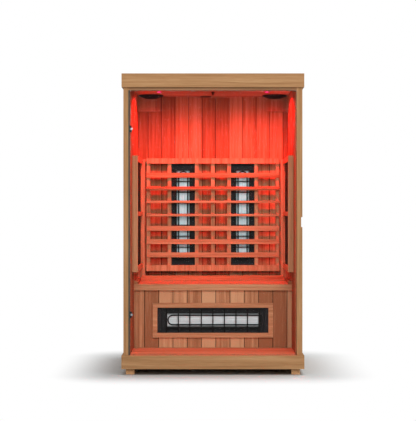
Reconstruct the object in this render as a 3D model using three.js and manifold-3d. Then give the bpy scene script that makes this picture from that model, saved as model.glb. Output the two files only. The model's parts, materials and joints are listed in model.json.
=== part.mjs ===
// Infrared sauna cabin in millimetres, +Z up, with its open glass front towards -Y.
// The origin is in the middle of the footprint, on the ground that the cabin stands on.

import * as THREE from 'three';
import { mergeVertices } from 'three/addons/utils/BufferGeometryUtils.js';
import Module from 'manifold-3d';

const wasm = await Module();
wasm.setup();

// Fits
const fitGap = 0.3;
const overcut = 5;

// Plinth, skids and floor
const plinthSideLedge = 11;
const plinthDepth = 1040;
const plinthHeight = 88;
const skidHeight = 38;
const skidWidth = 56;
const skidInset = 27;
const skidSetback = 34;
const floorThickness = 18;
const floorProud = 1;

// Walls, posts and header
const bodyWidth = 1178;
const bodyFrontSetback = 30;
const bodyBackSetback = 3;
const wallThickness = 42;
const wallHeight = 1784;
const postWidth = 37;
const headerHeight = 41;

// Boards of the cladding
const boardPitch = 99;
const boardOffset = 20;
const grooveWidth = 5;
const grooveDepth = 2.5;

// Hand grip milled into the outside of the right wall, beside the post
const gripLength = 120;
const gripHeight = 66;
const gripDepth = 9;
const gripCentreHeight = 875;

// Roof
const ceilingThickness = 20;
const roofCavity = 40;
const roofTopThickness = 8;
const roofSideOverhang = 11;
const roofFrontOverhang = 20;
const fasciaDrop = 22;
const powerBoxWidth = 300;
const powerBoxDepth = 200;
const powerBoxHeight = 32;
const inletWidth = 60;
const inletDepth = 40;
const inletHeight = 14;
const inletBackInset = 60;

// Ceiling fittings
const speakerRadius = 89;
const speakerNeckRadius = 74;
const speakerFlange = 8;
const speakerDome = 18;
const speakerFromSide = 101;
const speakerFromBack = 145;
const lampRadius = 13;
const lampNeckRadius = 9;
const lampThickness = 6;
const lampFromSide = 171;
const lampFromFront = 512;
const sensorRadius = 13;
const sensorStemRadius = 7;
const sensorFlange = 6;
const sensorDrop = 22;
const sensorFromFront = 556;
const ventWidth = 80;
const ventDepth = 36;
const ventRecess = 12;
const ventSlideWidth = 126;
const ventSlideThickness = 5;
const ventGuide = 7;
const ventLip = 4;
const ventLipThickness = 3;
const ventFromBack = 12;
const ventTravel = 80;
const ventOffset = -14;
const ventStop = 25;
const cornerBoxWidth = 160;
const cornerBoxHeight = 108;
const cornerBoxDepth = 52;
const cornerLip = 12;
const cornerLipProud = 4;

// Bench
const seatHeight = 441;
const seatThickness = 43;
const seatDepth = 525;
const benchPanelSetback = 23;
const benchPanelThickness = 20;
const sideRailHeight = 23;
const sideRailWidth = 26;
const backRailHeight = 38;
const backRailDepth = 48;
const backRailTop = 10;
const backRailEdge = 4;

// Rod heaters
const heaterLength = 778;
const heaterWidth = 183;
const heaterDepth = 42;
const heaterRimLong = 14;
const heaterRimEnd = 30;
const heaterPocket = 24;
const reflectorEndGap = 39;
const reflectorSideGap = 25.5;
const reflectorThickness = 6;
const reflectorWing = 5;
const rodEdgeGap = 19;
const rodRadius = 4.5;
const rodEndInset = 8;
const rodBlockLength = 16;
const rodClearance = 2.4;
const rodLap = 1;
const wireSize = 7;
const wireCount = 9;
const wireRowOffset = 52;
const backHeaterSpacing = 434;
const backHeaterHeight = 924;
const benchHeaterHeight = 190;

// Wooden frame around the bench heater
const frameBoard = 32;
const frameProud = 18;
const frameLap = 4;

// Slatted backrest
const backrestSideGap = 64;
const backrestStandoff = 83;
const backrestAboveSeat = 91;
const backrestRailDepth = 38;
const topRailHeight = 38;
const bottomRailHeight = 42;
const topRailStep = 104;
const slatPitch = 96.5;
const slatHeight = 35;
const slatThickness = 14;
const slatTilts = [0, 0, 0, 85, 85, 65, 0];
const battenWidth = 27;
const battenThickness = 22;
const battenBesideHeater = 8;

// Guards and flat heaters on the side walls
const guardStandoff = 37;
const guardLength = 711;
const guardHeight = 791;
const guardAboveSeat = 92;
const guardBoard = 22;
const guardRailHeight = 38;
const guardRailThickness = 8;
const guardMiddleRailHeight = 30;
const guardBackrestGap = 10;
const cleatLap = 14;
const cleatThickness = 12;
const sideHeaterThickness = 12;
const sideHeaterLap = 16;
const sideHeaterFrontGap = 3;
const sideHeaterRearGap = 118;

// Glass door
const glassThickness = 8;
const glassSetback = 4;
const doorGap = 3;
const sealWidth = 5;
const sealDepth = 8;
const sealRebate = 4;
const hingeInset = 12;
const hingeHeight = 42;
const hingeFromBottom = 265;
const hingeFromTop = 254;
const knuckleHeight = 13;
const knuckleRadius = 4.5;
const pinRadius = 2.2;
const pinGap = 0.4;
const clampPlate = 1.5;
const clampReach = 11;
const notchReach = 8;
const notchGap = 1;
const lugWall = 1;
const bracketThickness = 3;
const bracketDepth = 30;
const bracketSetback = 1;

// Levels and planes worked out from the sizes above
const plinthTop = skidHeight + plinthHeight;
const floorTop = plinthTop + floorProud;
const plinthFront = -plinthDepth / 2;
const bodyFront = plinthFront + bodyFrontSetback;
const bodyBack = plinthDepth / 2 - bodyBackSetback;
const bodyHalf = bodyWidth / 2;
const plinthHalf = bodyHalf + plinthSideLedge;
const roofHalf = bodyHalf + roofSideOverhang;
const innerHalf = bodyHalf - wallThickness;
const innerBack = bodyBack - wallThickness;
const postBack = bodyFront + wallThickness;
const openingHalf = bodyHalf - postWidth;
const ceilingBottom = plinthTop + wallHeight;
const ceilingTop = ceilingBottom + ceilingThickness;
const headerBottom = ceilingBottom - headerHeight;
const fasciaBottom = ceilingBottom - fasciaDrop;
const fasciaTop = ceilingTop + roofCavity;
const roofTop = fasciaTop + roofTopThickness;
const roofFront = bodyFront - roofFrontOverhang;
const roofBack = plinthDepth / 2;
const seatTop = floorTop + seatHeight;
const seatBottom = seatTop - seatThickness;
const seatFront = innerBack - seatDepth;
const benchFront = seatFront + benchPanelSetback;
const reflectorLength = heaterLength - 2 * (heaterRimEnd + reflectorEndGap);
const reflectorWidth = heaterWidth - 2 * (heaterRimLong + reflectorSideGap);
const rodSpacing = reflectorWidth - 2 * rodEdgeGap;
const wirePitch = reflectorLength / (wireCount - 1);
const backrestFront = innerBack - backrestStandoff;
const backrestHalf = innerHalf - backrestSideGap;
const battenFront = backrestFront + backrestRailDepth - battenThickness;
const bottomRailCentre = seatTop + backrestAboveSeat;
const topRailCentre = bottomRailCentre + slatTilts.length * slatPitch + topRailStep;
const guardBottom = seatTop + guardAboveSeat;
const guardTop = guardBottom + guardHeight;
const guardFront = innerBack - guardLength;
const speakerX = innerHalf - speakerFromSide;
const speakerY = innerBack - speakerFromBack;
const lampX = innerHalf - lampFromSide;
const lampY = bodyFront + lampFromFront;
const ventTrackBack = innerBack - ventFromBack;
const ventSlideBack = ventTrackBack - ventGuide - fitGap;
const ventSlideFront = ventSlideBack - ventDepth - 2 * ventLip;
const glassFront = bodyFront + glassSetback;
const hingeX = -openingHalf + hingeInset;
const hingeY = glassFront + glassThickness / 2;
const hingeLevels = { lower: floorTop + hingeFromBottom, upper: headerBottom - hingeFromTop };

// Looks of the materials
const paleCedar = { color: 0xb98d5f, roughness: 0.6, metalness: 0 };
const redCedar = { color: 0xa8653f, roughness: 0.6, metalness: 0 };
const blackMetal = { color: 0x1b1a1c, roughness: 0.5, metalness: 0.3 };
const silverMetal = { color: 0xc9cccd, roughness: 0.3, metalness: 1 };
const rodBlack = { color: 0x2a2624, roughness: 0.45, metalness: 0.1 };
const chrome = { color: 0xe4e6e8, roughness: 0.12, metalness: 1 };
const rubberBlack = { color: 0x2b3230, roughness: 0.75, metalness: 0 };
const greyMetal = { color: 0x8b8f92, roughness: 0.4, metalness: 0.9 };
const lampGlow = { color: 0xff2ab0, roughness: 0.3, metalness: 0, emissive: 0xff10a0 };
const clearGlass = { color: 0xe8f2ef, roughness: 0.03, metalness: 0, transparent: true, opacity: 0.12 };

const cabin = new THREE.Group();

// Geometry helpers

function addPart(name, geometry, look, parent = cabin) {
  const mesh = new THREE.Mesh(geometry, new THREE.MeshStandardMaterial(look));
  mesh.name = name;
  parent.add(mesh);
  return mesh;
}

function box(x0, x1, y0, y1, z0, z1) {
  const geometry = new THREE.BoxGeometry(x1 - x0, y1 - y0, z1 - z0);
  return geometry.translate((x0 + x1) / 2, (y0 + y1) / 2, (z0 + z1) / 2);
}

function uprightCylinder(radius, x, y, z0, z1, sides = 24) {
  const geometry = new THREE.CylinderGeometry(radius, radius, z1 - z0, sides);
  return geometry.rotateX(Math.PI / 2).translate(x, y, (z0 + z1) / 2);
}

function turned(profile, x, y, sides = 40) {
  const points = profile.map(([radius, level]) => new THREE.Vector2(radius, level));
  return new THREE.LatheGeometry(points, sides).rotateX(Math.PI / 2).translate(x, y, 0);
}

function extrudedUp(corners, z0, z1) {
  const shape = new THREE.Shape(corners.map(([x, y]) => new THREE.Vector2(x, y)));
  const geometry = new THREE.ExtrudeGeometry(shape, { depth: z1 - z0, bevelEnabled: false });
  return geometry.translate(0, 0, z0);
}

function solid(geometry) {
  const plain = geometry.clone();
  plain.deleteAttribute('normal');
  plain.deleteAttribute('uv');
  const merged = mergeVertices(plain, 1e-4);
  const vertProperties = new Float32Array(merged.attributes.position.array);
  const triVerts = new Uint32Array(merged.index.array);
  return new wasm.Manifold(new wasm.Mesh({ numProp: 3, vertProperties, triVerts }));
}

function geometryOf(body) {
  const mesh = body.getMesh();
  const geometry = new THREE.BufferGeometry();
  geometry.setAttribute('position', new THREE.BufferAttribute(mesh.vertProperties, 3));
  geometry.setIndex(new THREE.BufferAttribute(mesh.triVerts, 1));
  geometry.computeVertexNormals();
  return geometry;
}

function joined(pieces) {
  return geometryOf(pieces.map(solid).reduce((sum, piece) => sum.add(piece)));
}

function cut(geometry, tools) {
  return geometryOf(tools.map(solid).reduce((rest, tool) => rest.subtract(tool), solid(geometry)));
}

// Seams between boards: the places between two edges where the board pattern has a joint
function seams(from, to, offset) {
  const first = Math.ceil((from - offset) / boardPitch);
  const places = [];
  for (let place = offset + first * boardPitch; place < to; place += boardPitch) {
    const clear = Math.min(place - from, to - place);
    if (clear > grooveWidth) {
      places.push(place);
    }
  }
  return places;
}

// A V-groove along +Z, opening towards -Y, on the point x, y
function uprightGroove(x, y, z0, z1, angle = 0) {
  const half = grooveWidth / 2;
  const mouth = grooveWidth / grooveDepth;
  const corners = [[-half - mouth, -grooveDepth], [half + mouth, -grooveDepth], [0, grooveDepth]];
  return extrudedUp(corners, z0 - overcut, z1 + overcut).rotateZ(angle).translate(x, y, 0);
}

// A V-groove along X, opening upwards, at the level z
function flatGroove(y, z, x0, x1) {
  const upright = uprightGroove(0, 0, x0, x1);
  return upright.rotateX(-Math.PI / 2).rotateZ(Math.PI / 2).translate(0, y, z);
}

// Plinth, skids and floor

function addBase() {
  const skidOuter = plinthHalf - skidInset;
  const skidFront = plinthFront + skidSetback;
  for (const [side, sign] of [['left', -1], ['right', 1]]) {
    const centre = sign * (skidOuter - skidWidth / 2);
    const x0 = centre - skidWidth / 2;
    addPart(`skid_${side}`, box(x0, x0 + skidWidth, skidFront, -skidFront, 0, skidHeight), paleCedar);
  }
  const recess = box(
    -openingHalf, openingHalf, bodyFront, innerBack - fitGap, plinthTop - floorThickness, plinthTop + overcut,
  );
  const slab = box(-plinthHalf, plinthHalf, plinthFront, -plinthFront, skidHeight, plinthTop);
  addPart('plinth', cut(slab, [recess]), paleCedar);
  const x1 = innerHalf - fitGap;
  const y0 = bodyFront + fitGap;
  const y1 = innerBack - 2 * fitGap;
  const panel = box(-x1, x1, y0, y1, plinthTop - floorThickness + fitGap, floorTop);
  const grooves = seams(y0, y1, 0).map((y) => flatGroove(y, floorTop, -x1, x1));
  addPart('floor_panel', cut(panel, grooves), redCedar);
}

// Walls, posts and header; the left post has a rebate for the seal of the door

function addWalls() {
  const gripBox = box(
    bodyHalf - gripDepth, bodyHalf + overcut, bodyFront - overcut, bodyFront + gripLength,
    plinthTop + gripCentreHeight - gripHeight / 2, plinthTop + gripCentreHeight + gripHeight / 2,
  );
  const sealRecess = box(
    -openingHalf - sealRebate, -openingHalf + overcut, bodyFront - overcut, bodyFront + sealDepth + fitGap,
    plinthTop - overcut, headerBottom,
  );
  for (const [side, sign] of [['left', -1], ['right', 1]]) {
    const tools = [];
    for (const y of seams(postBack, innerBack, 0)) {
      tools.push(uprightGroove(sign * innerHalf, y, plinthTop, ceilingBottom, -sign * Math.PI / 2));
      tools.push(uprightGroove(sign * bodyHalf, y, plinthTop, ceilingBottom, sign * Math.PI / 2));
    }
    const edges = [sign * innerHalf, sign * bodyHalf].sort((a, b) => a - b);
    const wall = box(edges[0], edges[1], postBack, innerBack, plinthTop, ceilingBottom);
    const postEdges = [sign * openingHalf, sign * bodyHalf].sort((a, b) => a - b);
    const post = box(postEdges[0], postEdges[1], bodyFront, postBack, plinthTop, ceilingBottom);
    const grips = sign > 0 ? [gripBox] : [];
    addPart(`wall_${side}`, cut(wall, [...tools, ...grips]), redCedar);
    addPart(`post_${side}`, cut(post, sign > 0 ? grips : [sealRecess]), paleCedar);
  }
  const tools = [];
  for (const x of seams(-bodyHalf, bodyHalf, boardOffset)) {
    tools.push(uprightGroove(x, innerBack, plinthTop, ceilingBottom));
    tools.push(uprightGroove(x, bodyBack, plinthTop, ceilingBottom, Math.PI));
  }
  const back = box(-bodyHalf, bodyHalf, innerBack, bodyBack, plinthTop, ceilingBottom);
  addPart('wall_back', cut(back, tools), redCedar);
  const header = box(-openingHalf, openingHalf, bodyFront, postBack, headerBottom, ceilingBottom);
  addPart('header', header, paleCedar);
}

// Roof, with the power box in the space over the ceiling

function addRoof() {
  const outer = box(-roofHalf, roofHalf, roofFront, roofBack, fasciaBottom, fasciaTop);
  const hole = box(
    -bodyHalf - fitGap, bodyHalf + fitGap, bodyFront - fitGap, bodyBack + fitGap,
    fasciaBottom - overcut, fasciaTop + overcut,
  );
  addPart('roof_fascia', cut(outer, [hole]), paleCedar);
  const roof = box(-roofHalf, roofHalf, roofFront, roofBack, fasciaTop, roofTop);
  addPart('roof_top', roof, paleCedar);
  const holes = [-1, 1].flatMap((sign) => [
    uprightCylinder(
      speakerNeckRadius + fitGap, sign * speakerX, speakerY,
      ceilingBottom - overcut, ceilingTop + overcut, 40,
    ),
    uprightCylinder(
      lampNeckRadius + fitGap, sign * lampX, lampY,
      ceilingBottom - overcut, ceilingTop + overcut, 40,
    ),
  ]);
  const ventMouth = box(
    ventOffset - ventWidth - fitGap, ventOffset - fitGap, ventSlideFront + ventLip, ventSlideBack - ventLip,
    ceilingBottom - overcut, ceilingBottom + ventRecess,
  );
  const ceiling = box(-bodyHalf, bodyHalf, bodyFront, bodyBack, ceilingBottom, ceilingTop);
  addPart('ceiling_panel', cut(ceiling, [...holes, ventMouth]), redCedar);
  const boxHalf = powerBoxWidth / 2;
  const boxBack = powerBoxDepth / 2;
  const powerBox = box(-boxHalf, boxHalf, -boxBack, boxBack, ceilingTop, ceilingTop + powerBoxHeight);
  addPart('power_box', powerBox, greyMetal);
  const inletBack = roofBack - inletBackInset;
  const inletHalf = inletWidth / 2;
  const inlet = box(-inletHalf, inletHalf, inletBack - inletDepth, inletBack, roofTop, roofTop + inletHeight);
  addPart('power_inlet', inlet, blackMetal);
}

// Speakers, colour lamps, temperature sensor and vent under the ceiling

function addCeilingFittings() {
  const under = ceilingBottom - fitGap;
  for (const [side, sign] of [['left', -1], ['right', 1]]) {
    const speakerProfile = [
      [0, under - speakerFlange - speakerDome],
      [speakerRadius * 0.5, under - speakerFlange - speakerDome * 0.75],
      [speakerRadius * 0.88, under - speakerFlange],
      [speakerRadius, under - speakerFlange],
      [speakerRadius, under],
      [speakerNeckRadius, under],
      [speakerNeckRadius, ceilingTop],
      [0, ceilingTop],
    ];
    addPart(`speaker_${side}`, turned(speakerProfile, sign * speakerX, speakerY), blackMetal);
    const lampProfile = [
      [0, under - lampThickness],
      [lampRadius * 0.8, under - lampThickness],
      [lampRadius, under - lampThickness / 2],
      [lampRadius, under],
      [lampNeckRadius, under],
      [lampNeckRadius, ceilingTop],
      [0, ceilingTop],
    ];
    addPart(`lamp_${side}`, turned(lampProfile, sign * lampX, lampY), lampGlow);
    const boxWall = sign * (innerHalf - fitGap);
    const edges = [boxWall, boxWall - sign * cornerBoxWidth].sort((a, b) => a - b);
    const boxBottom = ceilingBottom - cornerBoxHeight;
    const boxFront = innerBack - cornerBoxDepth;
    const body = box(edges[0], edges[1], boxFront, innerBack - fitGap, boxBottom, under);
    const lip = box(
      edges[0], edges[1], boxFront - cornerLipProud, innerBack - fitGap, boxBottom, boxBottom + cornerLip,
    );
    addPart(`corner_box_${side}`, joined([body, lip]), redCedar);
  }
  const sensorProfile = [
    [0, under - sensorDrop],
    [sensorStemRadius, under - sensorDrop],
    [sensorStemRadius, under - sensorFlange],
    [sensorRadius, under - sensorFlange],
    [sensorRadius, under],
    [0, under],
  ];
  addPart('temperature_sensor', turned(sensorProfile, 0, bodyFront + sensorFromFront, 20), blackMetal);
}

// Air vent: a sliding cover, and the track that carries it past the recess in the ceiling

function addVent() {
  const under = ceilingBottom - fitGap;
  const trackFront = ventSlideFront - fitGap - ventGuide;
  const slideBottom = under - ventSlideThickness;
  const lipTop = slideBottom - fitGap;
  const trackBottom = lipTop - ventLipThickness;
  const slideX1 = ventOffset + ventSlideWidth;
  const stopX0 = slideX1 + fitGap;
  const stopX1 = stopX0 + ventGuide;
  const closedStop = ventOffset - ventTravel - fitGap;
  const trackX0 = closedStop - ventStop;
  const slide = box(ventOffset, slideX1, ventSlideFront, ventSlideBack, slideBottom, under);
  addPart('vent_slide', slide, redCedar);
  const track = joined([
    box(trackX0, stopX1, trackFront, trackFront + ventGuide, trackBottom, under),
    box(trackX0, stopX1, trackFront, ventSlideFront + ventLip, trackBottom, lipTop),
    box(trackX0, stopX1, ventTrackBack - ventGuide, ventTrackBack, trackBottom, under),
    box(trackX0, stopX1, ventSlideBack - ventLip, ventTrackBack, trackBottom, lipTop),
    box(stopX0, stopX1, trackFront, ventTrackBack, trackBottom, under),
    box(trackX0, closedStop, trackFront, ventTrackBack, trackBottom, under),
  ]);
  addPart('vent_track', track, redCedar);
}

// Bench with its front panel and the rails along the walls

function addBench() {
  const half = innerHalf - fitGap;
  const wallBack = innerBack - fitGap;
  const seat = box(-half, half, seatFront, wallBack, seatBottom, seatTop);
  const seatGrooves = seams(seatFront, wallBack, seatFront).map((y) => flatGroove(y, seatTop, -half, half));
  addPart('seat', cut(seat, seatGrooves), redCedar);
  const railBack = backrestFront - fitGap;
  const sideRailTop = seatTop + sideRailHeight;
  for (const [side, sign] of [['left', -1], ['right', 1]]) {
    const edges = [sign * half, sign * (half - sideRailWidth)].sort((a, b) => a - b);
    const rail = box(edges[0], edges[1], seatFront, railBack, seatTop, sideRailTop);
    addPart(`seat_rail_${side}`, rail, redCedar);
  }
  const backRailHalf = half - sideRailWidth - fitGap;
  const backRailCorners = [
    [railBack, seatTop],
    [railBack, seatTop + backRailHeight],
    [railBack - backRailTop, seatTop + backRailHeight],
    [railBack - backRailDepth, seatTop + backRailEdge],
    [railBack - backRailDepth, seatTop],
  ];
  const backRail = extrudedUp(backRailCorners, -backRailHalf, backRailHalf);
  addPart('seat_rail_back', backRail.rotateX(Math.PI / 2).rotateZ(Math.PI / 2), redCedar);
  const centre = floorTop + benchHeaterHeight;
  const holeHalf = heaterLength / 2 + fitGap;
  const holeRise = heaterWidth / 2 + fitGap;
  const benchBack = benchFront + benchPanelThickness;
  const window = box(
    -holeHalf, holeHalf, benchFront - overcut, benchBack + overcut, centre - holeRise, centre + holeRise,
  );
  const grooves = [];
  for (const x of seams(-half, half, boardOffset)) {
    grooves.push(uprightGroove(x, benchFront, floorTop, seatBottom));
  }
  const panel = box(-half, half, benchFront, benchBack, floorTop, seatBottom);
  addPart('bench_front', cut(panel, [window, ...grooves]), redCedar);
  const windowHalf = heaterLength / 2 - frameLap;
  const windowRise = heaterWidth / 2 - frameLap;
  const frameFront = benchFront - frameProud;
  const frame = box(
    -windowHalf - frameBoard, windowHalf + frameBoard, frameFront, benchFront,
    centre - windowRise - frameBoard, centre + windowRise + frameBoard,
  );
  const opening = box(
    -windowHalf, windowHalf, frameFront - overcut, benchFront + overcut,
    centre - windowRise, centre + windowRise,
  );
  addPart('bench_heater_frame', cut(frame, [opening]), redCedar);
}

// Rod heater, lying along X with its front towards +Z, and the U of its rod at the -X end

function heaterHousing() {
  const pocketHalf = heaterLength / 2 - heaterRimEnd;
  const pocketRise = heaterWidth / 2 - heaterRimLong;
  const body = box(
    -heaterLength / 2, heaterLength / 2, -heaterWidth / 2, heaterWidth / 2, -heaterDepth, 0,
  );
  const pocket = box(-pocketHalf, pocketHalf, -pocketRise, pocketRise, -heaterPocket, overcut);
  return cut(body, [pocket]);
}

function heaterReflector() {
  const half = reflectorWidth / 2;
  const back = -heaterPocket + fitGap;
  const face = back + reflectorThickness;
  const shape = new THREE.Shape();
  shape.moveTo(-half, back);
  shape.lineTo(half, back);
  shape.lineTo(half, face + reflectorWing);
  shape.lineTo(half - reflectorWing, face);
  shape.lineTo(reflectorWing - half, face);
  shape.lineTo(-half, face + reflectorWing);
  shape.closePath();
  const geometry = new THREE.ExtrudeGeometry(shape, { depth: reflectorLength, bevelEnabled: false });
  return geometry.translate(0, 0, -reflectorLength / 2).rotateY(Math.PI / 2).rotateX(Math.PI / 2);
}

function heaterRod() {
  const bend = rodSpacing / 2;
  const reflectorFace = -heaterPocket + fitGap + reflectorThickness;
  const level = reflectorFace + rodClearance + rodRadius;
  const bendCentre = -reflectorLength / 2 + rodEndInset + bend;
  const blockStart = reflectorLength / 2 + fitGap;
  const blockEnd = blockStart + rodBlockLength;
  const legEnd = blockStart + rodLap;
  const section = new THREE.Shape();
  section.absarc(0, 0, rodRadius, 0, 2 * Math.PI);
  const extrudePath = new BendCurve(bendCentre, bend, level);
  const bendPiece = new THREE.ExtrudeGeometry(section, { extrudePath, steps: 12, curveSegments: 5 });
  const legLength = legEnd - bendCentre + rodLap;
  const legs = [-bend, bend].map((y) => {
    const leg = new THREE.CylinderGeometry(rodRadius, rodRadius, legLength, 10);
    return leg.rotateZ(Math.PI / 2).translate(legEnd - legLength / 2, y, level);
  });
  const blockReach = bend + rodRadius + rodClearance;
  const block = box(
    blockStart, blockEnd, -blockReach, blockReach, -heaterPocket + fitGap, level + rodRadius + rodClearance,
  );
  return joined([bendPiece, ...legs, block]);
}

class BendCurve extends THREE.Curve {
  constructor(centre, radius, level) {
    super();
    this.centre = centre;
    this.radius = radius;
    this.level = level;
  }

  getPoint(share, target = new THREE.Vector3()) {
    const angle = Math.PI / 2 + share * Math.PI;
    const x = this.centre + this.radius * Math.cos(angle);
    return target.set(x, this.radius * Math.sin(angle), this.level);
  }
}

function heaterGrille() {
  const lap = heaterRimLong / 2;
  const reach = heaterWidth / 2 - heaterRimLong + lap;
  const run = (wireCount - 1) * wirePitch / 2;
  const half = wireSize / 2;
  const wires = [];
  for (let count = 0; count < wireCount; count += 1) {
    const x = count * wirePitch - run;
    wires.push(box(x - half, x + half, -reach, reach, fitGap, fitGap + wireSize));
  }
  for (const y of [-wireRowOffset, wireRowOffset]) {
    wires.push(box(-run, run, y - half, y + half, fitGap, fitGap + wireSize));
  }
  return joined(wires);
}

function addHeater(name, position, rotation) {
  const heater = new THREE.Group();
  heater.position.set(...position);
  heater.rotation.set(...rotation);
  addPart(`${name}_housing`, heaterHousing(), blackMetal, heater);
  addPart(`${name}_reflector`, heaterReflector(), silverMetal, heater);
  addPart(`${name}_rod`, heaterRod(), rodBlack, heater);
  addPart(`${name}_grille`, heaterGrille(), rodBlack, heater);
  cabin.add(heater);
}

function addHeaters() {
  const facingFront = Math.PI / 2;
  const bendUp = -Math.PI / 2;
  const backFace = innerBack - fitGap - heaterDepth;
  const backLevel = floorTop + backHeaterHeight;
  for (const [side, sign] of [['left', -1], ['right', 1]]) {
    const position = [sign * backHeaterSpacing / 2, backFace, backLevel];
    addHeater(`back_heater_${side}`, position, [facingFront, 0, bendUp]);
  }
  const benchPosition = [0, benchFront + fitGap, floorTop + benchHeaterHeight];
  addHeater('bench_heater', benchPosition, [facingFront, 0, 0]);
}

// Backrest: a frame of rails and battens that carries tilted slats

function addBackrest() {
  const half = backrestHalf;
  const back = backrestFront + backrestRailDepth;
  const frame = [
    box(-half, half, backrestFront, back, bottomRailCentre - bottomRailHeight / 2,
      bottomRailCentre + bottomRailHeight / 2),
    box(-half, half, backrestFront, back, topRailCentre - topRailHeight / 2,
      topRailCentre + topRailHeight / 2),
  ];
  const heaterX = backHeaterSpacing / 2;
  const beside = heaterWidth / 2 + battenBesideHeater;
  const stile = half - battenWidth / 2;
  const rightBattens = [heaterX - beside, heaterX + beside, stile];
  const leftBattens = rightBattens.map((x) => -x);
  for (const x of [...leftBattens, 0, ...rightBattens]) {
    frame.push(box(
      x - battenWidth / 2, x + battenWidth / 2, battenFront, back, bottomRailCentre, topRailCentre,
    ));
  }
  addPart('backrest_frame', joined(frame), redCedar);
  slatTilts.forEach((tilt, index) => {
    const angle = THREE.MathUtils.degToRad(tilt);
    const depth = slatHeight * Math.sin(angle) + slatThickness * Math.cos(angle);
    const slat = new THREE.BoxGeometry(2 * backrestHalf, slatThickness, slatHeight);
    const mesh = addPart(`backrest_slat_${index + 1}`, slat, redCedar);
    mesh.rotation.x = -angle;
    const level = bottomRailCentre + (index + 1) * slatPitch;
    mesh.position.set(0, battenFront - fitGap - depth / 2, level);
  });
}

// Guards over the flat heaters on the side walls, each with a cleat behind the end of each backrest rail

function addSideGuards() {
  const rearFront = backrestFront;
  const cleatFront = backrestFront + backrestRailDepth + fitGap;
  const cleatBack = cleatFront + cleatThickness;
  const cleatLevels = [
    [bottomRailCentre - bottomRailHeight / 2, bottomRailCentre + bottomRailHeight / 2],
    [topRailCentre - topRailHeight / 2, guardTop],
  ];
  const middle = (guardBottom + guardTop) / 2;
  for (const [side, sign] of [['left', -1], ['right', 1]]) {
    const wall = sign * (innerHalf - fitGap);
    const face = wall - sign * guardStandoff;
    const across = (from, to, y0, y1, z0, z1) => box(Math.min(from, to), Math.max(from, to), y0, y1, z0, z1);
    const rail = (centre, height) => across(
      face, face + sign * guardRailThickness, guardFront, rearFront + guardBoard,
      centre - height / 2, centre + height / 2,
    );
    const rearReach = sign * (backrestHalf + guardBackrestGap);
    const cleatReach = sign * (backrestHalf - cleatLap);
    const guard = joined([
      across(wall, face, guardFront, guardFront + guardBoard, guardBottom, guardTop),
      across(wall, rearReach, rearFront, cleatBack, seatTop + fitGap, guardTop),
      ...cleatLevels.map(([z0, z1]) => across(wall, cleatReach, cleatFront, cleatBack, z0, z1)),
      rail(guardTop - guardRailHeight / 2, guardRailHeight),
      rail(middle, guardMiddleRailHeight),
      rail(guardBottom + guardRailHeight / 2, guardRailHeight),
    ]);
    addPart(`side_guard_${side}`, guard, redCedar);
    const heaterFace = face + sign * (guardRailThickness + fitGap);
    const heater = across(
      heaterFace, heaterFace + sign * sideHeaterThickness,
      guardFront + guardBoard + sideHeaterFrontGap, rearFront - sideHeaterRearGap,
      guardBottom + guardRailHeight - sideHeaterLap, guardTop - guardRailHeight + sideHeaterLap,
    );
    addPart(`side_heater_${side}`, heater, blackMetal);
  }
}

// Frameless glass door, its seal and its hinges

function addDoor() {
  const stub = hingeInset - sealWidth - doorGap + fitGap;
  const glassLeft = hingeX - stub;
  const glassBottom = floorTop + doorGap;
  const glassTop = headerBottom - doorGap;
  const glassBack = glassFront + glassThickness;
  const pane = box(glassLeft, openingHalf - doorGap, glassFront, glassBack, glassBottom, glassTop);
  const notchHalf = hingeHeight / 2 + notchGap;
  const notches = Object.values(hingeLevels).map((level) => box(
    glassLeft - overcut, hingeX + notchReach + fitGap, glassFront - overcut, glassBack + overcut,
    level - notchHalf, level + notchHalf,
  ));
  addPart('door_glass', cut(pane, notches), clearGlass);
  const seal = box(
    -openingHalf - sealRebate + fitGap, -openingHalf + sealWidth, bodyFront, bodyFront + sealDepth,
    floorTop + fitGap, headerBottom - fitGap,
  );
  addPart('door_seal', seal, rubberBlack);
  for (const [place, level] of Object.entries(hingeLevels)) {
    addHinge(place, level);
  }
}

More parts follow.
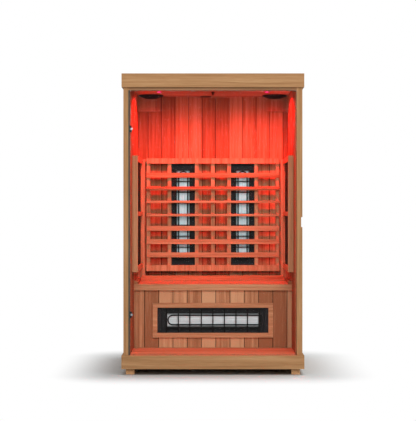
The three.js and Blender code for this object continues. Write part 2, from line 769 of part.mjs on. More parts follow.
function addHinge(place, level) {
  const plateX0 = -openingHalf + fitGap;
  const plateX1 = plateX0 + bracketThickness;
  const plateFront = bodyFront + sealDepth + bracketSetback;
  const sealEdge = -openingHalf + sealWidth + fitGap;
  const lugReach = knuckleRadius + lugWall;
  const lugCorners = [
    [plateX0, plateFront],
    [sealEdge, plateFront],
    [sealEdge, hingeY - lugReach],
    [hingeX + lugReach, hingeY - lugReach],
    [hingeX + lugReach, hingeY + lugReach],
    [plateX1, plateFront + 2 * knuckleRadius],
    [plateX0, plateFront + 2 * knuckleRadius],
  ];
  const top = level + hingeHeight / 2;
  const bottom = level - hingeHeight / 2;
  const knuckleTop = level + knuckleHeight / 2;
  const knuckleBottom = level - knuckleHeight / 2;
  const holed = joined([
    box(plateX0, plateX1, plateFront, plateFront + bracketDepth, bottom, top),
    extrudedUp(lugCorners, knuckleTop + fitGap, top),
    extrudedUp(lugCorners, bottom, knuckleBottom - fitGap),
  ]);
  const pinHole = uprightCylinder(pinRadius + pinGap, hingeX, hingeY, bottom - overcut, top + overcut);
  addPart(`hinge_bracket_${place}`, cut(holed, [pinHole]), blackMetal);
  const plateStart = hingeX + pinRadius;
  const plateOuter = glassThickness / 2 + fitGap + clampPlate;
  const plateInner = glassThickness / 2 + fitGap;
  const clamp = joined([
    uprightCylinder(knuckleRadius, hingeX, hingeY, knuckleBottom, knuckleTop),
    uprightCylinder(pinRadius, hingeX, hingeY, bottom + fitGap, top - fitGap, 16),
    box(plateStart, hingeX + notchReach, hingeY - plateOuter, hingeY + plateOuter, knuckleBottom, knuckleTop),
    box(plateStart, hingeX + clampReach, hingeY - plateOuter, hingeY - plateInner, knuckleBottom, knuckleTop),
    box(plateStart, hingeX + clampReach, hingeY + plateInner, hingeY + plateOuter, knuckleBottom, knuckleTop),
  ]);
  addPart(`hinge_clamp_${place}`, clamp, chrome);
}

addBase();
addWalls();
addRoof();
addCeilingFittings();
addVent();
addBench();
addHeaters();
addBackrest();
addSideGuards();
addDoor();

export default cabin;
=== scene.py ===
"""Looks of the infrared sauna cabin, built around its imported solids, in metres."""
import json
import math

import bmesh
import bpy
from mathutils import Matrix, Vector


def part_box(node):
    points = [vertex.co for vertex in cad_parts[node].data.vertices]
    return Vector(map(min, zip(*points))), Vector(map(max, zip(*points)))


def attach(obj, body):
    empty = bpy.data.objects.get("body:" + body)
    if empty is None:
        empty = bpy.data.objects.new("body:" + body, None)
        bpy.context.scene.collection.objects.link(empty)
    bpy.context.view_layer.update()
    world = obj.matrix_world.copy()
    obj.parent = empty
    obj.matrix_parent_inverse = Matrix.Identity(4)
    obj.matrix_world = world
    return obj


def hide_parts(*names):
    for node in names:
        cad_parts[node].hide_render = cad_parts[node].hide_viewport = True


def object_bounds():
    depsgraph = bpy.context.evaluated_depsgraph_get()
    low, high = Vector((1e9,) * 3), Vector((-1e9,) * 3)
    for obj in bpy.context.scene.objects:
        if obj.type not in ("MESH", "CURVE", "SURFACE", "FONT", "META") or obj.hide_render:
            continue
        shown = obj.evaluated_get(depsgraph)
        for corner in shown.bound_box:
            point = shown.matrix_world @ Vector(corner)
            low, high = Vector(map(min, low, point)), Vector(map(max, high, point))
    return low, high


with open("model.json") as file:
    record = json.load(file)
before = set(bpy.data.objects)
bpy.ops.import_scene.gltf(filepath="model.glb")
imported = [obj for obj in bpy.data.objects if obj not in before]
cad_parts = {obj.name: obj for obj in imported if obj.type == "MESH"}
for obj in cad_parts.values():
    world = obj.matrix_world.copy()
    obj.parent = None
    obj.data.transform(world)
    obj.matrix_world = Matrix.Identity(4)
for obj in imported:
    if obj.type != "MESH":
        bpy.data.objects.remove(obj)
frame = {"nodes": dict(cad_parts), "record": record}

CAD_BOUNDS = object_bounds()
NODES = frame["nodes"]
ROOT_BODY = "cabin"
AXES = {"X": 0, "Y": 1, "Z": 2}

# Pieces that repeat, and how many of the slats, from the first, are of lighter cedar; the slats above
# them take darker cedar as painted shade, where the roof keeps the front light off
SIDES = ("left", "right")
BACK_HEATERS = [f"back_heater_{side}" for side in SIDES]
HEATERS = [*BACK_HEATERS, "bench_heater"]
SLATS = [f"backrest_slat_{count}" for count in range(1, 8)]
SLATS_BELOW_PAINTED_SHADE = 5

# Camera: the photograph's viewing point, with the image taken as 416 x 421 pixels
IMAGE_HEIGHT = 421
FOCAL_PIXELS = 1272.4
SENSOR = 36.0
CAMERA_PLACE = (0.0, -8.86, 1.078)
CENTRE_SHIFT_PIXELS = 4.9

# Colours as the eye sees them, 0 to 255
PALE_TONES = ((146, 105, 68), (170, 127, 87), (188, 147, 105))
# Header: darker tones, painted shade where the roof fascia shadows it
HEADER_SHADED_TONES = ((128, 91, 62), (149, 111, 79), (166, 129, 95))
# Skids: lighter tones, painted light where the plinth shades them
SKID_LIT_TONES = ((172, 126, 86), (198, 151, 108), (216, 173, 128))
CEDAR_TONES = ((142, 84, 56), (178, 112, 76), (204, 146, 107))
LIGHT_CEDAR_TONES = ((162, 103, 71), (195, 136, 98), (218, 164, 124))
# Reflector sheets: one metal in two tones, brighter on the back heaters as painted light and darker on
# the bench heater as painted shade; their blue cast offsets the red light that bounces onto them
BACK_REFLECTOR_LIT_TONES = ((178, 203, 208), (213, 240, 245))
BENCH_REFLECTOR_SHADED_TONES = ((158, 166, 168), (184, 192, 194))
BLACK_PAINT = (33, 31, 33)
BLACK_PLASTIC = (7, 7, 8)
HEATER_PANEL = (10, 9, 10)
ROD_TONE = (15, 13, 12)
RUBBER_TONE = (52, 60, 57)
GREY_COAT = (150, 153, 156)
HINGE_CHROME = (138, 140, 143)
BEZEL_CHROME = (214, 217, 220)
LENS_TONE = (255, 30, 190)
LENS_GLOW = 2.0
LENS_MOTTLE = 0.05
GLASS_TINT = (30, 56, 48)

# Glass: the width of its green rim, and how much the rim and the pane hide of what is behind
GLASS_RIM = 0.003
GLASS_RIM_ALPHA = 0.55
GLASS_ALPHA = 0.02

# Wood grain: its fineness along and across the fibres, where each tone stands, and how strongly it shows
GRAIN_ALONG = 1.6
GRAIN_ACROSS = 55.0
GRAIN_STOPS = (0.22, 0.5, 0.78)
GRAIN_CONTRAST = 1.7
STREAK_SHARE = 0.65

# Boards: their pitch, where a joint lies, how far the grain jumps, and numbers that draw their tones
BOARD_PITCH = 0.099
ACROSS_BOARD_START = 0.02
SEAT_BOARD_START = -0.051
BOARD_JUMP = (7.0, 7.0, 7.0)
WALL_DRAW = 3106
BENCH_DRAW = 887

# Dark joint between two boards: how far from the joint it shades the wood, and how much light it leaves
SEAM_EDGE = 0.0045
SEAM_SHADE = 0.12

# Moulded or sprayed texture: how much lighter its specks are, and its bump
SPECK_LIFT = 1.6
SPECK_BUMP = 0.12

# Eased edges of large and of small pieces of wood
EASED_EDGE = 0.002
SMALL_EASED_EDGE = 0.0015

# Speaker: its flange under the ceiling, its dome as shares of radius and drop, and its rings and ribs
SPEAKER_FLANGE = 0.0083
SPEAKER_DOME = ((0.0, 1.0), (0.5, 0.75), (0.88, 0.0), (1.0, 0.0))
SPEAKER_RINGS = (0.14, 0.26, 0.38, 0.5, 0.62, 0.74, 0.86, 0.95)
SPEAKER_BEAD = 0.0017
SPEAKER_BEAD_SIDES = 10
SPEAKER_RIBS = 12
SPEAKER_RIB_STEPS = (0.14, 0.5, 0.86)
SPEAKER_RIB_WIDTH = 0.7
SPEAKER_RIB_SINK = 0.0006

# Bezel: its gap to the lens, and its section as steps outwards from the lens and down from the ceiling
BEZEL_GAP = 0.0004
BEZEL_SECTION = (
    (0.0, 0.0002),
    (0.0, 0.0042),
    (0.003, 0.0054),
    (0.010, 0.0046),
    (0.015, 0.0016),
    (0.015, 0.0002),
)

# Reflector sheet: its raised wings, its ribs, the painted shade along its edges that stands for the dark
# housing seen in the wings, and the fineness of its lines
REFLECTOR_WING = 0.005
REFLECTOR_RIBS = 11
REFLECTOR_RIB_HEIGHT = 0.0013
REFLECTOR_RIB_STEPS = 6
REFLECTOR_EDGE = 0.021
BACK_PAINTED_EDGE_SHADE = 0.3
BENCH_PAINTED_EDGE_SHADE = 0.1
LINES_ALONG = 5.0
LINES_ACROSS = 260.0

# Vent grille: a thin backing plate, two rims and the fins between them
VENT_MARGIN = 0.0003
VENT_BACKING = 0.0008
VENT_SINK = 0.0002
VENT_RIM = 0.0009
VENT_PROUD = 0.0022
VENT_FIN = 0.0012
VENT_FIN_INSET = 0.0003
VENT_FIN_PITCH = 0.005

# Mains inlet: the bevel round its face, its socket and the pins in the socket
INLET_BEVEL_X = 0.002
INLET_BEVEL_Y = 0.002
INLET_BEVEL_Z = 0.0015
SOCKET_HALF_WIDTH = 0.0125
SOCKET_HALF_HEIGHT = 0.0045
SOCKET_DEPTH = 0.018
PIN_PLACES = (-0.007, 0.0, 0.007)
PIN_HALF_WIDTH = 0.001
PIN_HALF_HEIGHT = 0.002
PIN_ROOT = 0.001
PIN_RECESS = 0.004

# Red light: the ceiling lamps, and their glow on the back wall, from a Y and Z further in front
LAMP_RED = (1.0, 0.012, 0.008)
LAMP_WATTS = 46.0
LAMP_SIZE = 0.012
LAMP_DROP = 0.004
LAMP_CONE = math.radians(166)
LAMP_CONE_BLEND = 0.5
BACK_GLOW_WATTS = 66.0
BACK_GLOW_PLACE = (-0.40, 1.89)
BACK_GLOW_CONE = math.radians(179)
BACK_GLOW_BLEND = 0.45

# Studio: two soft lamps, the world, and a floor that turns white this far from the cabin
WHITE = (1, 1, 1)
WORLD_STRENGTH = 0.28
FRONT_SOFTBOX = {"place": (0.5, -6.2, 3.4), "watts": 285.0, "size": 3.5, "target": (0, 0, 0.9)}
TOP_SOFTBOX = {"place": (1.3, 0.2, 5.4), "watts": 155.0, "size": 5.0, "target": (0, 0, 0)}
FLOOR_HALF = 60.0
FLOOR_FADE = 0.5
FLOOR_TONE = (0.96, 1.0, 1.0, 1)


def linear(colour):
    """The linear colour of an 0 to 255 screen colour."""
    steps = [value / 255 for value in colour]
    curved = [v / 12.92 if v <= 0.04045 else ((v + 0.055) / 1.055) ** 2.4 for v in steps]
    return (*curved, 1.0)


def pair(name):
    """The names of a left and a right piece."""
    return [f"{name}_{side}" for side in SIDES]


class Nodes:
    """A material's node tree, with short ways to add and link nodes."""

    def __init__(self, name):
        self.material = bpy.data.materials.new(name)
        self.material.use_nodes = True
        self.tree = self.material.node_tree
        self.shader = self.tree.nodes["Principled BSDF"]
        self.place = self.add("ShaderNodeTexCoord").outputs["Object"]

    def add(self, kind, values=None, **settings):
        """A new node, with its inputs' values and its own settings."""
        node = self.tree.nodes.new(kind)
        for key, value in settings.items():
            setattr(node, key, value)
        for key, value in (values or {}).items():
            node.inputs[key].default_value = value
        return node

    def link(self, output, target):
        self.tree.links.new(output, target)

    def drive(self, socket, output):
        """Lets an output drive one socket of the shader."""
        self.link(output, self.shader.inputs[socket])

    def set(self, **values):
        """Puts plain values on the shader's own sockets."""
        for key, value in values.items():
            self.shader.inputs[key.replace("_", " ")].default_value = value

    def math(self, operation, first, second=None):
        node = self.add("ShaderNodeMath", operation=operation)
        for socket, value in zip(node.inputs, (first, second)):
            if isinstance(value, (int, float)):
                socket.default_value = value
            elif value is not None:
                self.link(value, socket)
        return node.outputs[0]

    def coordinates(self):
        """The X, Y and Z of a place on the piece."""
        split = self.add("ShaderNodeSeparateXYZ")
        self.link(self.place, split.inputs[0])
        return split.outputs

    def from_edge(self, coordinate, low, high):
        """How far a coordinate lies inside the nearer of two limits."""
        off_middle = self.math("ABSOLUTE", self.math("SUBTRACT", coordinate, (low + high) / 2))
        return self.math("SUBTRACT", (high - low) / 2, off_middle)

    def stretched(self, place, scales):
        """A place with each coordinate scaled."""
        mapping = self.add("ShaderNodeMapping", {"Scale": scales})
        self.link(place, mapping.inputs["Vector"])
        return mapping.outputs[0]

    def noise(self, place, **values):
        node = self.add("ShaderNodeTexNoise", values)
        self.link(place, node.inputs["Vector"])
        return node.outputs["Fac"]

    def ramp(self, factor, stops):
        node = self.add("ShaderNodeValToRGB")
        elements = node.color_ramp.elements
        while len(elements) < len(stops):
            elements.new(0.5)
        for element, (place, colour) in zip(elements, stops):
            element.position = place
            element.color = colour
        self.link(factor, node.inputs["Fac"])
        return node.outputs["Color"]

    def greys(self, factor, low, high, start=0.3, end=0.7):
        """A ramp from one grey to another, for a roughness."""
        return self.ramp(factor, [(start, (low, low, low, 1)), (end, (high, high, high, 1))])

    def shaded(self, colour, distance, edge, shade):
        """The colour, darkened where a distance is less than the edge."""
        limits = {"From Max": edge, "To Min": shade}
        share = self.add("ShaderNodeMapRange", limits, interpolation_type="SMOOTHSTEP")
        self.link(distance, share.inputs["Value"])
        scale = self.add("ShaderNodeVectorMath", operation="SCALE")
        self.link(colour, scale.inputs[0])
        self.link(share.outputs["Result"], scale.inputs["Scale"])
        return scale.outputs["Vector"]

    def bump(self, height, strength, distance):
        node = self.add("ShaderNodeBump", {"Strength": strength, "Distance": distance})
        self.link(height, node.inputs["Height"])
        self.drive("Normal", node.outputs["Normal"])


def board_row(nodes, axis, start, spread, draw):
    """For boards beside each other: where their grain is read, their tones, and how far a joint is."""
    from_start = nodes.math("SUBTRACT", nodes.coordinates()[AXES[axis]], start)
    boards = nodes.math("DIVIDE", from_start, BOARD_PITCH)
    chance = nodes.add("ShaderNodeTexWhiteNoise", noise_dimensions="1D")
    nodes.link(nodes.math("ADD", nodes.math("FLOOR", boards), draw), chance.inputs["W"])
    tone = nodes.math("MULTIPLY", nodes.math("SUBTRACT", chance.outputs["Value"], 0.5), spread)
    seam = nodes.math("MULTIPLY", nodes.math("PINGPONG", boards, 0.5), BOARD_PITCH)
    jump = nodes.add("ShaderNodeVectorMath", operation="MULTIPLY_ADD")
    nodes.link(chance.outputs["Color"], jump.inputs[0])
    jump.inputs[1].default_value = BOARD_JUMP
    nodes.link(nodes.place, jump.inputs[2])
    return jump.outputs[0], tone, seam


def wood(name, tones, grain, board=None, start=0.0, spread=0.5, joints=True, draw=0):
    """Planed wood with its grain along one axis and, where boards lie side by side, a tone for each."""
    nodes = Nodes(name)
    place = nodes.place
    if board is not None:
        place, board_tone, seam = board_row(nodes, board, start, spread, draw)
    scales = [GRAIN_ACROSS, GRAIN_ACROSS, GRAIN_ACROSS]
    scales[AXES[grain]] = GRAIN_ALONG
    fibres = nodes.stretched(place, scales)
    streaks = nodes.noise(fibres, Scale=1.0, Detail=6.0, Roughness=0.6, Distortion=0.35)
    fine = nodes.noise(fibres, Scale=6.5, Detail=3.0, Roughness=0.7)
    fine_part = nodes.math("MULTIPLY", fine, 1 - STREAK_SHARE)
    height = nodes.math("ADD", nodes.math("MULTIPLY", streaks, STREAK_SHARE), fine_part)
    contrast = nodes.math("MULTIPLY", nodes.math("SUBTRACT", height, 0.5), GRAIN_CONTRAST)
    tone = nodes.math("ADD", contrast, 0.5)
    if board is not None:
        tone = nodes.math("ADD", tone, board_tone)
    colour = nodes.ramp(tone, list(zip(GRAIN_STOPS, map(linear, tones))))
    if board is not None and joints:
        colour = nodes.shaded(colour, seam, SEAM_EDGE, SEAM_SHADE)
    nodes.drive("Base Color", colour)
    nodes.drive("Roughness", nodes.greys(fine, low=0.62, high=0.8))
    nodes.set(Specular_IOR_Level=0.08)
    nodes.bump(height, strength=0.25, distance=0.0008)
    return nodes.material


def speckled(name, colour, roughness, metallic=0.0, scale=420.0):
    """Paint, plastic or rubber with a fine moulded or sprayed texture."""
    nodes = Nodes(name)
    specks = nodes.noise(nodes.place, Scale=scale, Detail=3.0)
    base = linear(colour)
    lifted = (*[min(1.0, v * SPECK_LIFT) for v in base[:3]], 1.0)
    nodes.drive("Base Color", nodes.ramp(specks, [(0.35, base), (0.75, lifted)]))
    nodes.set(Roughness=roughness, Metallic=metallic, Specular_IOR_Level=0.12)
    nodes.bump(specks, strength=SPECK_BUMP, distance=0.0004)
    return nodes.material


def reflector_axes(heater):
    """The axis that a heater's reflector lies along, and the axis across it."""
    low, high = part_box(f"{heater}_reflector")
    size = high - low
    return (0, 2) if size.x > size.z else (2, 0)


def reflector_metal(heater, tones, painted_edge_shade):
    """Bright rolled sheet metal with faint lines along the heater, and painted shade along its edges for
    the dark housing that the curved-up edges reflect.
    """
    nodes = Nodes(f"{heater}_sheet")
    along, across = reflector_axes(heater)
    low, high = [corner[across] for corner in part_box(f"{heater}_reflector")]
    from_edge = nodes.from_edge(nodes.coordinates()[across], low, high)
    scales = [LINES_ACROSS, LINES_ACROSS, LINES_ACROSS]
    scales[along] = LINES_ALONG
    lines = nodes.noise(nodes.stretched(nodes.place, scales), Scale=1.0, Detail=4.0)
    shade, bright = map(linear, tones)
    sheet = nodes.ramp(lines, [(0.35, shade), (0.6, bright)])
    # Painted shade: the sheet's colour is darkened near its long edges, standing in for the dark housing
    # reflected there
    nodes.drive("Base Color", nodes.shaded(sheet, from_edge, REFLECTOR_EDGE, painted_edge_shade))
    nodes.set(Roughness=0.5, Metallic=0.6)
    nodes.bump(lines, strength=0.2, distance=0.0004)
    return nodes.material


def polished(name, colour, roughness):
    """Polished metal with faint wipe marks."""
    nodes = Nodes(name)
    marks = nodes.noise(nodes.place, Scale=160.0, Detail=4.0)
    nodes.drive("Roughness", nodes.greys(marks, low=roughness * 0.7, high=roughness * 1.5))
    nodes.set(Base_Color=linear(colour), Metallic=1.0)
    return nodes.material


def clear_glass(node):
    """Clear tempered glass that lets nearly all light through, with a green rim all round."""
    nodes = Nodes(node)
    low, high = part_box(node)
    places = nodes.coordinates()
    from_edges = [nodes.from_edge(places[axis], low[axis], high[axis]) for axis in (0, 2)]
    limits = {"From Max": GLASS_RIM, "To Min": GLASS_RIM_ALPHA, "To Max": GLASS_ALPHA}
    rim = nodes.add("ShaderNodeMapRange", limits)
    nodes.link(nodes.math("MINIMUM", *from_edges), rim.inputs["Value"])
    nodes.drive("Alpha", rim.outputs["Result"])
    film = nodes.noise(nodes.place, Scale=3.0, Detail=4.0)
    nodes.drive("Roughness", nodes.greys(film, low=0.02, high=0.06, end=0.8))
    nodes.set(Base_Color=linear(GLASS_TINT), IOR=1.5, Specular_IOR_Level=0.3)
    return nodes.material


def glowing(name, colour, strength):
    """A lit lens with a faint mottle in its glow."""
    nodes = Nodes(name)
    mottle = nodes.noise(nodes.place, Scale=90.0)
    core = linear(colour)
    paler = (core[0], core[1] + LENS_MOTTLE, core[2], 1.0)
    nodes.drive("Emission Color", nodes.ramp(mottle, [(0.3, core), (0.8, paler)]))
    nodes.set(Base_Color=core, Roughness=0.3, Emission_Strength=strength)
    return nodes.material


def paint(names, material):
    """Gives the named nodes one material."""
    for name in names:
        slots = NODES[name].data.materials
        slots.clear()
        slots.append(material)


def soften(names, width):
    """Eases the sharp edges of the named nodes."""
    for name in names:
        bevel = NODES[name].modifiers.new("eased_edges", "BEVEL")
        bevel.width = width
        bevel.segments = 2
        bevel.limit_method = "ANGLE"
        bevel.angle_limit = math.radians(40)
        bevel.harden_normals = True


def dress_outside():
    """Paler wood of the frame that shows from outside."""
    paint(["plinth", "roof_fascia", "roof_top"], wood("pale_wood_level", PALE_TONES, "X"))
    paint(pair("post"), wood("pale_wood_upright", PALE_TONES, "Z"))
    # The header's darker tones are painted shade under the roof fascia
    paint(["header"], wood("header_wood_painted_shade", HEADER_SHADED_TONES, "X"))
    # The skids' lighter tones are painted light in the plinth's shade
    paint(pair("skid"), wood("skid_wood_painted_light", SKID_LIT_TONES, "Y"))
    soften(["plinth", "roof_fascia", "roof_top", *pair("post"), "header", *pair("skid")], EASED_EDGE)


def dress_boards():
    """Cedar boards side by side: the walls, the ceiling, the floor, the seat and the bench front."""
    across = {"board": "X", "start": ACROSS_BOARD_START}
    paint(["wall_back"], wood("cedar_boards_x", CEDAR_TONES, "Z", draw=WALL_DRAW, **across))
    bench = wood("bench_boards", LIGHT_CEDAR_TONES, "Z", spread=0.8, draw=BENCH_DRAW, **across)
    paint(["bench_front"], bench)
    paint(pair("wall"), wood("cedar_boards_y", CEDAR_TONES, "Z", board="Y"))
    paint(["ceiling_panel"], wood("cedar_level_boards", CEDAR_TONES, "X", board="Y", spread=0.25))
    # The floor takes the lighter cedar as painted light, brighter than the cedar of the walls
    paint(["floor_panel"], wood("floor_boards_painted_light", LIGHT_CEDAR_TONES, "X", board="Y", spread=0.25))
    seat = {"board": "Y", "start": SEAT_BOARD_START, "spread": 0.2, "joints": False}
    paint(["seat"], wood("seat_boards", LIGHT_CEDAR_TONES, "X", **seat))
    soften(["seat"], EASED_EDGE)


def dress_joinery():
    """Single pieces of cedar inside: rails, slats, guards, frames, boxes and the vent."""
    level = wood("cedar_level", CEDAR_TONES, "X")
    light_level = wood("light_cedar_level", LIGHT_CEDAR_TONES, "X")
    upright = wood("cedar_upright", CEDAR_TONES, "Z")
    light_upright = wood("light_cedar_upright", LIGHT_CEDAR_TONES, "Z")
    vent = ["vent_slide", "vent_track"]
    # The upper slats take the darker cedar as painted shade, where the roof keeps the front light off
    # them
    paint([*vent, "seat_rail_back", *SLATS[SLATS_BELOW_PAINTED_SHADE:]], level)
    paint(["bench_heater_frame", *SLATS[:SLATS_BELOW_PAINTED_SHADE]], light_level)
    paint(pair("corner_box"), upright)
    paint([*pair("side_guard"), "backrest_frame"], light_upright)
    paint(pair("seat_rail"), wood("cedar_deep", CEDAR_TONES, "Y"))
    soften(["bench_heater_frame", *pair("side_guard"), "backrest_frame", *SLATS], EASED_EDGE)
    soften([*pair("seat_rail"), "seat_rail_back"], EASED_EDGE)
    soften([*pair("corner_box"), *vent], SMALL_EASED_EDGE)


def dress_fittings():
    """Metal, plastic, rubber and glass, and the small pieces that the solids leave plain."""
    black = speckled("black_paint", BLACK_PAINT, roughness=0.5)
    paint([f"{heater}_housing" for heater in HEATERS], black)
    paint(["hinge_bracket_lower", "hinge_bracket_upper"], black)
    paint(pair("side_heater"), speckled("heater_panel", HEATER_PANEL, roughness=0.6))
    plastic = speckled("black_plastic", BLACK_PLASTIC, roughness=0.6, scale=700.0)
    paint([*pair("speaker"), "temperature_sensor"], plastic)
    rod = speckled("dark_rod", ROD_TONE, roughness=0.42, metallic=0.2, scale=900.0)
    paint([f"{heater}_{part}" for heater in HEATERS for part in ("rod", "grille")], rod)
    hinge_chrome = polished("hinge_chrome", HINGE_CHROME, roughness=0.3)
    paint(["hinge_clamp_lower", "hinge_clamp_upper"], hinge_chrome)
    paint(["door_seal"], speckled("seal_rubber", RUBBER_TONE, roughness=0.7))
    paint(["power_box"], speckled("grey_coat", GREY_COAT, roughness=0.45, metallic=0.4))
    paint(["door_glass"], clear_glass("door_glass"))
    paint(pair("lamp"), glowing("lamp_lens", LENS_TONE, LENS_GLOW))
    bezel_chrome = polished("bezel_chrome", BEZEL_CHROME, roughness=0.2)
    for side, heater in zip(SIDES, BACK_HEATERS):
        add_speaker_grille(side, plastic)
        add_lamp_bezel(side, bezel_chrome)
        add_reflector(heater, reflector_metal(heater, BACK_REFLECTOR_LIT_TONES, BACK_PAINTED_EDGE_SHADE))
    bench_sheet = reflector_metal("bench_heater", BENCH_REFLECTOR_SHADED_TONES, BENCH_PAINTED_EDGE_SHADE)
    add_reflector("bench_heater", bench_sheet)
    add_vent_grille(plastic)
    add_mains_inlet(plastic)


def add_piece(name, shapes, material):
    """A new piece, from closed shapes of vertices and faces, that rides on the cabin."""
    mesh = bpy.data.meshes.new(name)
    mesh.from_pydata(*merged(shapes))
    surface = bmesh.new()
    surface.from_mesh(mesh)
    bmesh.ops.recalc_face_normals(surface, faces=surface.faces)
    surface.to_mesh(mesh)
    surface.free()
    mesh.shade_smooth()
    mesh.set_sharp_from_angle(angle=math.radians(35))
    mesh.materials.append(material)
    piece = bpy.data.objects.new(name, mesh)
    bpy.context.scene.collection.objects.link(piece)
    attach(piece, ROOT_BODY)
    return piece


def merged(shapes):
    """The vertices, edges and faces of several shapes as one, with no loose edges."""
    vertices, faces = [], []
    for points, sides in shapes:
        start = len(vertices)
        vertices.extend(points)
        faces.extend([tuple(start + corner for corner in side) for side in sides])
    return vertices, [], faces


def swept(sections, closed):
    """Vertices and faces of equal sections joined in a row, with ends or as a ring."""
    count = len(sections[0])
    vertices = [point for section in sections for point in section]
    faces = []
    for step in range(len(sections) if closed else len(sections) - 1):
        after = (step + 1) % len(sections)
        for point in range(count):
            beside = (point + 1) % count
            near, far = step * count, after * count
            faces.append((near + point, far + point, far + beside, near + beside))
    if not closed:
        faces.append(tuple(range(count)))
        faces.append(tuple(range(len(vertices) - count, len(vertices))))
    return vertices, faces


def block(low, high):
    """Vertices and faces of a plain block between two corners."""
    section = [(low[1], low[2]), (high[1], low[2]), (high[1], high[2]), (low[1], high[2])]
    return swept([[(x, y, z) for y, z in section] for x in (low[0], high[0])], closed=False)


def turned(profile, centre, steps=56):
    """A closed profile of radius and level, turned about an upright axis."""
    sections = []
    for step in range(steps):
        angle = 2 * math.pi * step / steps
        across, deep = math.cos(angle), math.sin(angle)
        sections.append([(centre.x + r * across, centre.y + r * deep, level) for r, level in profile])
    return swept(sections, closed=True)


def dome_drop(share):
    """How far a speaker's dome hangs down at a share of its radius, as a share of its full drop."""
    stretches = zip(SPEAKER_DOME, SPEAKER_DOME[1:])
    (start, deep), (end, shallow) = next(stretch for stretch in stretches if share <= stretch[1][0])
    return deep + (shallow - deep) * (share - start) / (end - start)


def add_speaker_grille(side, material):
    """Moulded rings and ribs over the speaker's dome."""
    low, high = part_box(f"speaker_{side}")
    centre = (low + high) / 2
    radius = (high.x - low.x) / 2
    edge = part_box("ceiling_panel")[0].z - SPEAKER_FLANGE
    drop = edge - low.z
    bead = SPEAKER_BEAD
    around = [2 * math.pi * step / SPEAKER_BEAD_SIDES for step in range(SPEAKER_BEAD_SIDES)]
    shapes = []
    for share in SPEAKER_RINGS:
        level = edge - drop * dome_drop(share)
        profile = [(share * radius + bead * math.cos(a), level + bead * math.sin(a)) for a in around]
        shapes.append(turned(profile, centre))
    deep = Vector((0, 0, SPEAKER_RIB_SINK))
    proud = Vector((0, 0, -bead))
    for rib in range(SPEAKER_RIBS):
        angle = 2 * math.pi * rib / SPEAKER_RIBS
        out = Vector((math.cos(angle), math.sin(angle), 0))
        beside = Vector((-out.y, out.x, 0)) * bead * SPEAKER_RIB_WIDTH
        corners = (deep - beside, deep + beside, proud + beside, proud - beside)
        sections = []
        for share in SPEAKER_RIB_STEPS:
            level = edge - drop * dome_drop(share)
            point = Vector((centre.x, centre.y, level)) + out * share * radius
            sections.append([tuple(point + corner) for corner in corners])
        shapes.append(swept(sections, closed=False))
    add_piece(f"speaker_grille_{side}", shapes, material)


def add_lamp_bezel(side, material):
    """A polished ring around the lens of a ceiling lamp."""
    low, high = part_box(f"lamp_{side}")
    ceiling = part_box("ceiling_panel")[0].z
    inner = (high.x - low.x) / 2 + BEZEL_GAP
    profile = [(inner + out, ceiling - down) for out, down in BEZEL_SECTION]
    add_piece(f"lamp_bezel_{side}", [turned(profile, (low + high) / 2)], material)


def add_reflector(heater, material):
    """The ribbed sheet of a reflector, with its two raised wings, lying along X or Z."""
    low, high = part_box(f"{heater}_reflector")
    along, across = reflector_axes(heater)
    middle = (low[across] + high[across]) / 2
    half = (high[across] - low[across]) / 2
    flat = half - REFLECTOR_WING
    face = low.y + REFLECTOR_WING
    outline = [(-half, high.y), (-half, low.y)]
    steps = REFLECTOR_RIBS * REFLECTOR_RIB_STEPS
    for step in range(steps + 1):
        place = -flat + 2 * flat * step / steps
        swell = 0.5 - 0.5 * math.cos(2 * math.pi * step / REFLECTOR_RIB_STEPS)
        outline.append((place, face - REFLECTOR_RIB_HEIGHT * swell))
    outline += [(half, low.y), (half, high.y)]
    sections = []
    for end in (low[along], high[along]):
        section = []
        for place, deep in outline:
            point = [0.0, deep, 0.0]
            point[along] = end
            point[across] = middle + place
            section.append(tuple(point))
        sections.append(section)
    sheet = add_piece(f"{heater}_ribbed_sheet", [swept(sections, closed=False)], material)
    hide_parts(f"{heater}_reflector")


def add_vent_grille(material):
    """A dark grille of upright fins in the front of the vent's track, before the mouth."""
    openings = frame["record"]["physics"]["openings"]
    mouth = next(opening for opening in openings if opening["name"] == "vent_mouth")
    left, right = [corner[0] for corner in mouth["box_m"]]
    low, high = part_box("vent_track")
    bottom, top = low.z + VENT_MARGIN, high.z - VENT_MARGIN
    front = low.y - VENT_PROUD
    shapes = [
        block((left, low.y - VENT_BACKING, bottom), (right, low.y + VENT_SINK, top)),
        block((left, front, bottom), (right, low.y, bottom + VENT_RIM)),
        block((left, front, top - VENT_RIM), (right, low.y, top)),
    ]
    for count in range(int((right - left) / VENT_FIN_PITCH)):
        start = left + (count + 0.5) * VENT_FIN_PITCH
        shapes.append(block((start, front + VENT_FIN_INSET, bottom), (start + VENT_FIN, low.y, top)))
    add_piece("vent_grille", shapes, material)


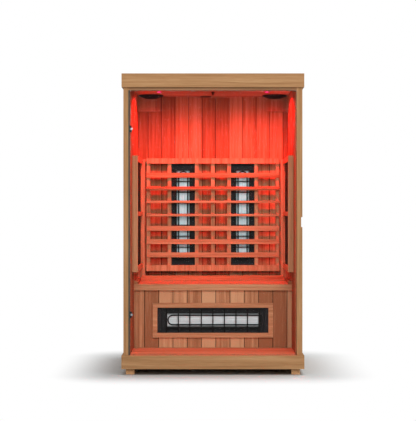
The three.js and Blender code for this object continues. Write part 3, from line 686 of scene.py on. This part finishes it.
def add_mains_inlet(material):
    """A moulded mains inlet, with a socket towards the back and three pins in it."""
    low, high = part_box("power_inlet")
    middle = (low + high) / 2
    half = (high - low) / 2
    floor = high.y - SOCKET_DEPTH

    def outline(width, height, deep):
        ring = ((-1, -1), (1, -1), (1, 1), (-1, 1))
        return [(middle.x + a * width, deep, middle.z + b * height) for a, b in ring]

    body = swept([
        outline(half.x, half.z, low.y),
        outline(half.x, half.z, high.y - INLET_BEVEL_Y),
        outline(half.x - INLET_BEVEL_X, half.z - INLET_BEVEL_Z, high.y),
        outline(SOCKET_HALF_WIDTH, SOCKET_HALF_HEIGHT, high.y),
        outline(SOCKET_HALF_WIDTH, SOCKET_HALF_HEIGHT, floor),
    ], closed=False)
    pins = []
    for place in PIN_PLACES:
        centre = middle.x + place
        start = (centre - PIN_HALF_WIDTH, floor - PIN_ROOT, middle.z - PIN_HALF_HEIGHT)
        end = (centre + PIN_HALF_WIDTH, high.y - PIN_RECESS, middle.z + PIN_HALF_HEIGHT)
        pins.append(block(start, end))
    inlet = add_piece("mains_inlet", [body, *pins], material)
    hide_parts("power_inlet")


def add_light(name, kind, place, watts, colour):
    """A lamp that shines straight down."""
    data = bpy.data.lights.new(name, kind)
    data.energy = watts
    data.color = colour
    lamp = bpy.data.objects.new(name, data)
    lamp.location = place
    bpy.context.scene.collection.objects.link(lamp)
    return lamp


def add_softbox(name, place, watts, size, target):
    """A square white lamp of the studio, turned to a target."""
    lamp = add_light(name, "AREA", place, watts, WHITE)
    lamp.data.size = size
    aim = Vector(target) - Vector(place)
    lamp.rotation_euler = aim.to_track_quat("-Z", "Y").to_euler()
    return lamp


def add_red_lamp(name, place, watts, cone, blend, lit):
    """A small red lamp that lights only what its collection says."""
    lamp = add_light(name, "SPOT", place, watts, LAMP_RED)
    lamp.data.shadow_soft_size = LAMP_SIZE
    lamp.data.spot_size = cone
    lamp.data.spot_blend = blend
    lamp.light_linking.receiver_collection = lit


def linked(name, pieces, state):
    """A collection that lets a lamp light only these pieces, or all but these."""
    chosen = bpy.data.collections.new(name)
    for piece in pieces:
        chosen.objects.link(piece)
    for member in chosen.collection_objects:
        member.light_linking.link_state = state
    return chosen


def light_cabin(floor):
    """The red light of the two ceiling lamps, kept off bright metal, and their glow on the back wall."""
    back = NODES["wall_back"]
    metal_names = [*pair("lamp_bezel"), *[f"{heater}_ribbed_sheet" for heater in BACK_HEATERS]]
    metal = [bpy.data.objects[name] for name in metal_names]
    others = linked("all_but_back_and_floor", [floor, back, *metal], "EXCLUDE")
    back_only = linked("back_only", [back], "INCLUDE")
    for side in SIDES:
        low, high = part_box(f"lamp_{side}")
        middle = (low + high) / 2
        place = (middle.x, middle.y, low.z - LAMP_DROP)
        add_red_lamp(f"red_{side}", place, LAMP_WATTS, LAMP_CONE, LAMP_CONE_BLEND, others)
        place = (middle.x, *BACK_GLOW_PLACE)
        add_red_lamp(f"back_{side}", place, BACK_GLOW_WATTS, BACK_GLOW_CONE, BACK_GLOW_BLEND, back_only)


def light_studio(floor):
    """Soft white light from the front and above, and a white world."""
    front = add_softbox("front_softbox", **FRONT_SOFTBOX)
    front.light_linking.receiver_collection = linked("all_but_floor", [floor], "EXCLUDE")
    add_softbox("top_softbox", **TOP_SOFTBOX)
    world = bpy.data.worlds.new("studio")
    world.use_nodes = True
    bpy.context.scene.world = world
    tree = world.node_tree
    background = tree.nodes["Background"]
    background.inputs["Color"].default_value = (*WHITE, 1)
    strength = tree.nodes.new("ShaderNodeMapRange")
    strength.inputs["To Min"].default_value = WORLD_STRENGTH
    strength.inputs["To Max"].default_value = 1.0
    tree.links.new(camera_rays(tree), strength.inputs["Value"])
    tree.links.new(strength.outputs["Result"], background.inputs["Strength"])


def camera_rays(tree):
    """A socket that is 1 where the camera looks, also by way of gloss or glass."""
    rays = tree.nodes.new("ShaderNodeLightPath")
    seen = rays.outputs["Is Camera Ray"]
    for ray in ("Is Glossy Ray", "Is Transmission Ray"):
        most = tree.nodes.new("ShaderNodeMath")
        most.operation = "MAXIMUM"
        tree.links.new(seen, most.inputs[0])
        tree.links.new(rays.outputs[ray], most.inputs[1])
        seen = most.outputs[0]
    return seen


def floor_material():
    """Pale floor that keeps the shadow near the cabin and turns white further out."""
    nodes = Nodes("studio_floor")
    nodes.set(Base_Color=FLOOR_TONE, Roughness=0.8, Specular_IOR_Level=0.1)
    places = nodes.coordinates()
    apart = nodes.add("ShaderNodeCombineXYZ")
    for axis in (0, 1):
        past = nodes.math("SUBTRACT", nodes.math("ABSOLUTE", places[axis]), CAD_BOUNDS[1][axis])
        nodes.link(nodes.math("MAXIMUM", past, 0.0), apart.inputs[axis])
    length = nodes.add("ShaderNodeVectorMath", operation="LENGTH")
    nodes.link(apart.outputs[0], length.inputs[0])
    fade = nodes.add("ShaderNodeMapRange", {"From Max": FLOOR_FADE}, interpolation_type="SMOOTHSTEP")
    nodes.link(length.outputs["Value"], fade.inputs["Value"])
    share = nodes.math("MULTIPLY", fade.outputs["Result"], camera_rays(nodes.tree))
    white = nodes.add("ShaderNodeEmission", {"Color": (*WHITE, 1), "Strength": 1.0})
    mix = nodes.add("ShaderNodeMixShader")
    nodes.link(share, mix.inputs["Fac"])
    nodes.link(nodes.shader.outputs[0], mix.inputs[1])
    nodes.link(white.outputs[0], mix.inputs[2])
    nodes.link(mix.outputs[0], nodes.tree.nodes["Material Output"].inputs["Surface"])
    return nodes.material


def add_floor():
    """A wide pale floor under the skids."""
    mesh = bpy.data.meshes.new("studio_floor")
    corners = [(FLOOR_HALF * a, FLOOR_HALF * b, 0) for a, b in ((-1, -1), (1, -1), (1, 1), (-1, 1))]
    mesh.from_pydata(corners, [], [(0, 1, 2, 3)])
    floor = bpy.data.objects.new("studio_floor", mesh)
    bpy.context.scene.collection.objects.link(floor)
    mesh.materials.append(floor_material())
    return floor


def add_camera():
    """The photograph's camera: level, on the cabin's middle line."""
    data = bpy.data.cameras.new("photo_camera")
    data.sensor_width = SENSOR
    data.lens = FOCAL_PIXELS * SENSOR / IMAGE_HEIGHT
    data.shift_x = -CENTRE_SHIFT_PIXELS / IMAGE_HEIGHT
    camera = bpy.data.objects.new("photo_camera", data)
    camera.location = CAMERA_PLACE
    camera.rotation_euler = (math.pi / 2, 0, 0)
    bpy.context.scene.collection.objects.link(camera)
    bpy.context.scene.camera = camera


bpy.context.scene.view_settings.view_transform = "Standard"
add_camera()
dress_outside()
dress_boards()
dress_joinery()
dress_fittings()
STUDIO_FLOOR = add_floor()
light_cabin(STUDIO_FLOOR)
light_studio(STUDIO_FLOOR)
